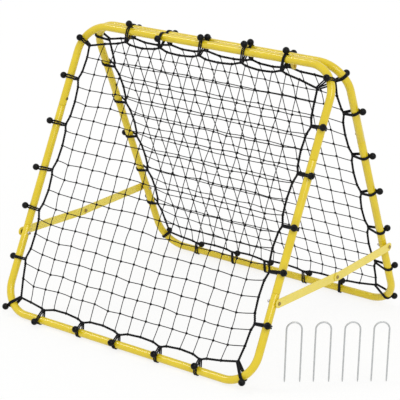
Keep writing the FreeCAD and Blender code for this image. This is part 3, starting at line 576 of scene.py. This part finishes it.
# Where the border is at the given places along a side: its signed distance from the middle of the net.
def borderAt(line, places, axis, sign):
    near = line[sign * line[:, 1 - axis] > netSizes["core"]]
    near = near[np.argsort(near[:, axis])]
    return np.interp(places, near[:, axis], near[:, 1 - axis])


# Strands: from the border through their knots to the border, lying half their thickness over or under the
# others. Between two knots they are bowed sideways by a random bow * sin(pi * share of the way).
def netStrands(name, line, knots, course, random):
    facing = 1 if name == "front" else -1
    axis = 0 if course == "upright" else 1
    endSides = ("bottom", "top") if axis == 0 else ("left", "right")[::facing]
    run = knots if axis == 0 else knots.transpose(1, 0, 2)
    ends = []
    for sign, side in zip((-1, 1), endSides):
        middle = strandEnds[name][side] * (facing if axis == 0 else -1)
        place = middle + strandSteps * netSizes["endSpacing"]
        place = place + random.normal(0, netSizes["endLooseness"], len(run))
        edge = borderAt(line, place, axis, sign)
        ends.append(np.stack([place, edge] if axis == 0 else [edge, place], axis=-1)[:, None])
    stations = np.concatenate([ends[0], run, ends[1]], axis=1)
    spans = stations.shape[1] - 1
    share = np.arange(netSizes["spanParts"]) / netSizes["spanParts"]
    start, stop = stations[:, :-1, None], stations[:, 1:, None]
    path = start + (stop - start) * share[:, None]
    bow = random.normal(0, netSizes["bow"], (len(run), spans, 1)) * np.sin(math.pi * share)
    path[..., axis] += bow
    path = np.concatenate([path.reshape(len(run), -1, 2), stations[:, -1:]], axis=1)
    over = netSizes["twineRadius"] * (1 if axis == 0 else -1)
    height = np.full(path.shape[:2], over)
    height[:, [0, -1]] = 0
    path = np.concatenate([path, height[..., None]], axis=-1)
    side, rise = acrossPath(path, (0, 0, 1))
    return carried(path, side, rise, roundSection(netSizes["twineRadius"], netSizes["twineSides"])), stations


# Knots in the net and ties at the border: radius and flatness of each. Real knots in such twine are about
# 3 mm in radius and are drawn larger so that they show.
knotSizes = dict(knot=4.3, knotFlat=0.8, tie=4.8, tieFlat=0.95, rings=5, sides=8, pole=0.42, lump=0.16,
                 lumps=3, twist=4)


# Small balls with lumps where the twine goes round, flattened to the net's plane, each spun at random.
# Radius = size * (1 + lump * sin(lumps * turn + twist * rise + spin)), rise from near one pole to the other.
def lumps(places, size, flat, random):
    rings = knotSizes["rings"]
    rise = np.linspace(-knotSizes["pole"], knotSizes["pole"], rings) * math.pi
    turn = np.arange(knotSizes["sides"]) / knotSizes["sides"] * 2 * math.pi
    spin = random.uniform(0, 2 * math.pi, (len(places), 1, 1))
    wave = np.sin(knotSizes["lumps"] * turn + knotSizes["twist"] * rise[:, None] + spin)
    radius = size * (1 + knotSizes["lump"] * wave)
    section = (radius * np.cos(rise)[:, None])[..., None] * np.stack([np.cos(turn), np.sin(turn)], axis=-1)
    path = np.repeat(places[:, None], rings, axis=1).astype(float)
    height = np.broadcast_to((flat * size * np.sin(rise))[None, :, None], (len(places), rings, 1))
    path = np.concatenate([path, height], axis=-1)
    side = np.broadcast_to([1.0, 0.0, 0.0], path.shape)
    upward = np.broadcast_to([0.0, 1.0, 0.0], path.shape)
    return carried(path, side, upward, section)


for seed, name in enumerate(("front", "rear")):
    body = f"{name}_frame"
    random = np.random.default_rng(netSizes["seed"] + seed)
    line = borderLine(name)
    knots = knotGrid(name, random)
    makePiece(f"{name}_net_border_rope", inShared(name, netBorder(line)), rope, body,
              [f"{name}_net_border"])
    ties = []
    for course in ("upright", "level"):
        strands, stations = netStrands(name, line, knots, course, random)
        ties.append(stations[:, [0, -1]].reshape(-1, 2))
        makePiece(f"{name}_net_{course}_twine", inShared(name, strands), twine, body,
                  [f"{name}_net_{course}_strands"])
    knotted = joined([lumps(knots.reshape(-1, 2), knotSizes["knot"], knotSizes["knotFlat"], random),
                      lumps(np.concatenate(ties), knotSizes["tie"], knotSizes["tieFlat"], random)])
    makePiece(f"{name}_net_knots", inShared(name, knotted), twine, body)
print("nets made")


# The real elastic is about 3.5 mm thick and is drawn flat and thicker so that it shows. atRope is half the
# distance of its two strands at the rope, neck how far from the ball's middle they meet, and sinks the share
# of the soft rope's radius that is left under the cord. The strands part within openAtBall and openAtRope.
bungeeSizes = dict(thick=3.8, wide=5.2, sides=10, rings=72, clear=0.05, sinks=0.45, atRope=2.65, neck=8.8,
                   neckRadius=0.5, openAtBall=9, openAtRope=42, directions=1440)
# The seam is a low ridge, seamTurn (radians) wide. The hole narrows from the rim to its floor, at levels that
# are shares of the radius. The ball is tried at each 0.1 mm from near to far, and its cord sinks in a little.
ballSizes = dict(radius=11.0, foot=-0.47, rings=19, sides=24, seam=0.25, seamTurn=0.05, hole=2.6,
                 holeNarrows=(0.85, 0.8), holeLevels=(0.93, 0.6), near=16, far=50, tries=341, bandRings=400,
                 cordSinks=0.4)


# Tight band round the tube (at 0, 0) and the rope (at 0, -depth) in the plane across the tube: for each
# direction it touches the circle that reaches furthest that way, at middle + radius * direction.
def tightBand(depth, count, extra=()):
    facing = np.linspace(0, 2 * math.pi, bungeeSizes["directions"] + 1)[:-1]
    normal = np.stack([np.cos(facing), np.sin(facing)], axis=-1)
    cord = bungeeSizes["thick"] / 2
    pressed = netSizes["ropeRadius"] * bungeeSizes["sinks"] + cord
    wound = frameSizes["tube"] + cord + bungeeSizes["clear"]
    rounds = np.array([(0, 0, wound), (0, -depth, pressed), *extra])
    touched = np.argmax(normal @ rounds[:, :2].T + rounds[:, 2], axis=1)
    return evenly(rounds[touched, :2] + rounds[touched, 2:] * normal, count, closed=True)


# Middle of a ball in that direction from the tube, as near as the band lets it come, and its direction from
# the nearest point of the band.
def ballSeat(depth, turn):
    heading = np.array([math.cos(math.radians(turn)), math.sin(math.radians(turn))])
    band = tightBand(depth, ballSizes["bandRings"])
    reach = np.linspace(ballSizes["near"], ballSizes["far"], ballSizes["tries"])
    gap = np.linalg.norm(reach[:, None, None] * heading - band, axis=-1).min(axis=1)
    touching = gap < ballSizes["radius"] + bungeeSizes["thick"] / 2 - ballSizes["cordSinks"]
    middle = reach[np.flatnonzero(touching)[-1]] * heading
    nearest = band[np.argmin(np.linalg.norm(band - middle, axis=-1))]
    return middle, unit(middle - nearest)


# One cord, pulled flat: two strands side by side along the band, drawn out to the ball's neck, close together
# there and at the rope. Their shift along the tube goes from the rope's to the ball's in even steps.
def bungeeCord(centre, along, away, ropeSlide, depth, turn, slide, spread):
    middle, outward = ballSeat(depth, turn)
    neck = middle - bungeeSizes["neck"] * outward
    band = tightBand(depth, bungeeSizes["rings"], [(*neck, bungeeSizes["neckRadius"])])
    band = np.roll(band, -int(np.argmin(np.linalg.norm(band - neck, axis=-1))), axis=0)
    steps = np.linalg.norm(np.diff(band, axis=0, append=band[:1]), axis=-1)
    at = np.cumsum(steps) - steps
    low = int(np.argmin(band[:, 1]))
    fromRope = np.abs(at - at[low])
    fromBall = np.minimum(at, steps.sum() - at)
    shift = ropeSlide + (slide - ropeSlide) * fromRope / (fromRope + fromBall)
    opened = (np.minimum(fromBall / bungeeSizes["openAtBall"], 1)
              * np.minimum(fromRope / bungeeSizes["openAtRope"], 1))
    apart = bungeeSizes["atRope"] + (spread - bungeeSizes["atRope"]) * opened
    place = shift + np.array([1, -1])[:, None] * apart
    out = np.array([0.0, 0.0, 1.0])
    path = (centre + band[:, :1] * out + band[:, 1:] * away)[None] + place[..., None] * along
    side, rise = acrossPath(path, along, closed=True)
    section = roundSection(0.5, bungeeSizes["sides"]) * (bungeeSizes["thick"], bungeeSizes["wide"])
    return carried(path, side, rise, section, closed=True)


# One ball: a turned shape round the line from the cord through its middle. Its outline is a half circle of
# radius + seam * e^(-(turn from the equator / seamTurn)^2), and at its top is the hole for the cord's knot.
def bungeeBall(centre, along, away, depth, turn, slide):
    size = ballSizes["radius"]
    hole = ballSizes["hole"]
    rim = 0.5 * math.pi - math.asin(hole / size)
    tilt = np.linspace(ballSizes["foot"] * math.pi, rim, ballSizes["rings"])
    bulge = size + ballSizes["seam"] * np.exp(-(tilt / ballSizes["seamTurn"]) ** 2)
    radius = np.concatenate([bulge * np.cos(tilt), hole * np.array(ballSizes["holeNarrows"])])
    height = np.concatenate([bulge * np.sin(tilt), size * np.array(ballSizes["holeLevels"])])
    out = np.array([0.0, 0.0, 1.0])
    middle, outward = ballSeat(depth, turn)
    middle = centre + slide * along + middle[0] * out + middle[1] * away
    outward = outward[0] * out + outward[1] * away
    path = (middle + height[:, None] * outward)[None]
    side = np.broadcast_to(along, path.shape)
    rise = np.broadcast_to(np.cross(outward, along), path.shape)
    return carried(path, side, rise, roundSection(radius[None], ballSizes["sides"]))


for name in ("front", "rear"):
    body = f"{name}_frame"
    for side in sides + ("corner",):
        seats = bungeeSeats(name, side)
        cords = joined([bungeeCord(*seat) for seat in seats])
        balls = joined([bungeeBall(*seat[:3], *seat[4:7]) for seat in seats])
        makePiece(f"{name}_{side}_bungee_elastic", inShared(name, cords), elastic, body,
                  [f"{name}_{side}_bungee_cords"])
        makePiece(f"{name}_{side}_bungee_ball_row", inShared(name, balls), ballNylon, body,
                  [f"{name}_{side}_bungee_balls"])
print("bungees made")


# The first stake stands at x and y and the row runs off at turn degrees. Each tip is a blunt point, tip high,
# and taper is its radius at the end, halfway up and at the top. The wire is full from fullAbove over it, and
# its even rings start tipGap over it.
stakeSizes = dict(wire=2.5, width=46, height=194, x=543, y=-290, turn=40, step=87, tip=9,
                  taper=(1.0, 2.0, 2.42), fullAbove=1, tipGap=12, legRings=12, bendRings=33, sides=16)


# Hairpin of round wire: up one leg, round a half circle, down the other; both legs end in a tapered tip.
def groundStake(number):
    radius = stakeSizes["width"] / 2
    shoulder = stakeSizes["height"] - stakeSizes["wire"] - radius
    tip = stakeSizes["tip"]
    above = np.linspace(tip + stakeSizes["tipGap"], shoulder, stakeSizes["legRings"])
    rise = np.concatenate([[0, tip * 0.5, tip, tip + stakeSizes["fullAbove"]], above])
    thick = np.concatenate([stakeSizes["taper"], np.full(len(above) + 1, stakeSizes["wire"])])
    bend = np.linspace(math.pi, 0, stakeSizes["bendRings"])[1:-1]
    up = np.stack([np.full(len(rise), -radius), rise], axis=-1)
    over = np.stack([radius * np.cos(bend), shoulder + radius * np.sin(bend)], axis=-1)
    line = np.concatenate([up, over, up[::-1] * (-1, 1)])
    thick = np.concatenate([thick, np.full(len(over), stakeSizes["wire"]), thick[::-1]])
    turn = math.radians(stakeSizes["turn"])
    along = (number - 1) * stakeSizes["step"] + line[:, 0]
    path = np.stack([stakeSizes["x"] + along * math.cos(turn), stakeSizes["y"] + along * math.sin(turn),
                     line[:, 1]], axis=-1)[None]
    side, rise = acrossPath(path, (math.sin(turn), -math.cos(turn), 0))
    return carried(path, side, rise, roundSection(thick[None], stakeSizes["sides"]))


for number in range(1, 5):
    node = f"ground_stake_{number}"
    makePiece(f"{node}_wire", groundStake(number), wire, f"stake_{number}", [node])
print("stakes made")


# CAD pieces that stay: weld (mm) joins their loose triangles, flat (degrees) clears the lines in their flat
# faces, and corners sharper than corner (degrees) get a rounded edge.
dressSizes = dict(weld=0.01, flat=2, corner=35, segments=2)


# Material for a CAD piece, and with a bevel (mm) its corners rounded by modifiers.
def dress(node, material, bevel=0.0):
    piece = nodes[node]
    if not piece.material_slots:
        piece.data.materials.append(None)
    piece.material_slots[0].link = "OBJECT"
    piece.material_slots[0].material = material
    if bevel:
        weld = piece.modifiers.new("weld", "WELD")
        weld.merge_threshold = dressSizes["weld"] * millimetre
        flat = piece.modifiers.new("flat", "DECIMATE")
        flat.decimate_type = "DISSOLVE"
        flat.angle_limit = math.radians(dressSizes["flat"])
        edge = piece.modifiers.new("bevel", "BEVEL")
        edge.width = bevel * millimetre
        edge.segments = dressSizes["segments"]
        edge.limit_method = "ANGLE"
        edge.angle_limit = math.radians(dressSizes["corner"])
        edge.harden_normals = True


for name in ("front", "rear"):
    dress(f"{name}_hinge_ears", tubeCoat, 0.5)
    dress(f"{name}_joint_screws", shadedZinc)
    dress(f"{name}_stay_bolts", zinc)
    dress(f"{name}_stay_nuts", clearZinc, 0.6)
    dress(f"{name}_stay_spacers", spacerNylon, 0.5)
dress("hinge_bolts", brightZinc)
dress("hinge_nuts", brightZinc, 0.6)
for hand in ("left", "right"):
    dress(f"{hand}_front_stay_bar", litBarCoat, 0.6)
    dress(f"{hand}_rear_stay_bar", litBarCoat, 0.6)
    dress(f"{hand}_middle_pivot_bolt", zinc)
    dress(f"{hand}_middle_pivot_nut", zinc, 0.6)
print("CAD pieces finished")


# Brightness of the world; colour, glow, half width and depth (m) of the floor; and for each lamp its power,
# how wide it spreads (degrees) and the direction that it stands in.
light = dict(world=0.78, floor="#FAFAF8", floorGlow=0.8, floorHalf=30, floorDrop=0.0005,
             suns=dict(right=dict(power=0.85, softness=28, place=(0.75, -0.6, 0.8)),
                       left=dict(power=0.42, softness=14, place=(-0.55, -0.3, 0.78))))


# 1 where the camera looks straight, in a mirror of metal or through glass, 0 where light is gathered.
def seen(tree):
    rays = addNode(tree, "ShaderNodeLightPath")
    mirrored = addNode(tree, "ShaderNodeMath", {"operation": "MAXIMUM"},
                       {0: rays.outputs["Is Glossy Ray"], 1: rays.outputs["Is Transmission Ray"]})
    return addNode(tree, "ShaderNodeMath", {"operation": "MAXIMUM"},
                   {0: rays.outputs["Is Camera Ray"], 1: mirrored.outputs[0]}).outputs[0]


# What the camera and a mirror see is white, what lights the object is the softer world.
def whiteWorld():
    world = bpy.data.worlds.new("studio")
    bpy.context.scene.world = world
    world.use_nodes = True
    tree = world.node_tree
    tree.nodes.clear()
    soft = addNode(tree, "ShaderNodeBackground", {"Color": (1, 1, 1, 1), "Strength": light["world"]})
    white = addNode(tree, "ShaderNodeBackground", {"Color": (1, 1, 1, 1), "Strength": 1.0})
    mix = addNode(tree, "ShaderNodeMixShader", {}, {0: seen(tree), 1: soft.outputs[0], 2: white.outputs[0]})
    addNode(tree, "ShaderNodeOutputWorld", {}, {"Surface": mix.outputs[0]})


# Floor: pale paint that glows for the camera and in mirrors, so that it is white but keeps a soft shadow.
def paleFloor():
    material = bpy.data.materials.new("pale_floor")
    material.use_nodes = True
    tree = material.node_tree
    tree.nodes.clear()
    paint = addNode(tree, "ShaderNodeBsdfDiffuse", {"Color": colour(light["floor"])})
    glow = addNode(tree, "ShaderNodeEmission", {"Color": (1, 1, 1, 1), "Strength": 1.0})
    share = addNode(tree, "ShaderNodeMath", {"operation": "MULTIPLY", 1: light["floorGlow"]}, {0: seen(tree)})
    mix = addNode(tree, "ShaderNodeMixShader", {},
                  {0: share.outputs[0], 1: paint.outputs[0], 2: glow.outputs[0]})
    addNode(tree, "ShaderNodeOutputMaterial", {}, {"Surface": mix.outputs[0]})
    reach, drop = light["floorHalf"], light["floorDrop"]
    mesh = bpy.data.meshes.new("floor")
    mesh.from_pydata([(-reach, -reach, -drop), (reach, -reach, -drop), (reach, reach, -drop),
                      (-reach, reach, -drop)], [], [(0, 1, 2, 3)])
    mesh.materials.append(material)
    floor = bpy.data.objects.new("floor", mesh)
    bpy.context.scene.collection.objects.link(floor)


# Two soft lamps: one lights the legs from the right, one draws the bright line along the rails.
def softSuns():
    for name, sizes in light["suns"].items():
        lamp = bpy.data.lights.new(f"{name}_lamp", "SUN")
        lamp.energy = sizes["power"]
        lamp.angle = math.radians(sizes["softness"])
        sun = bpy.data.objects.new(f"{name}_lamp", lamp)
        sun.rotation_euler = Vector(sizes["place"]).to_track_quat("Z", "Y").to_euler()
        bpy.context.scene.collection.objects.link(sun)


whiteWorld()
paleFloor()
softSuns()
bpy.context.scene.view_settings.view_transform = "Standard"
print("floor, world and lamps made")
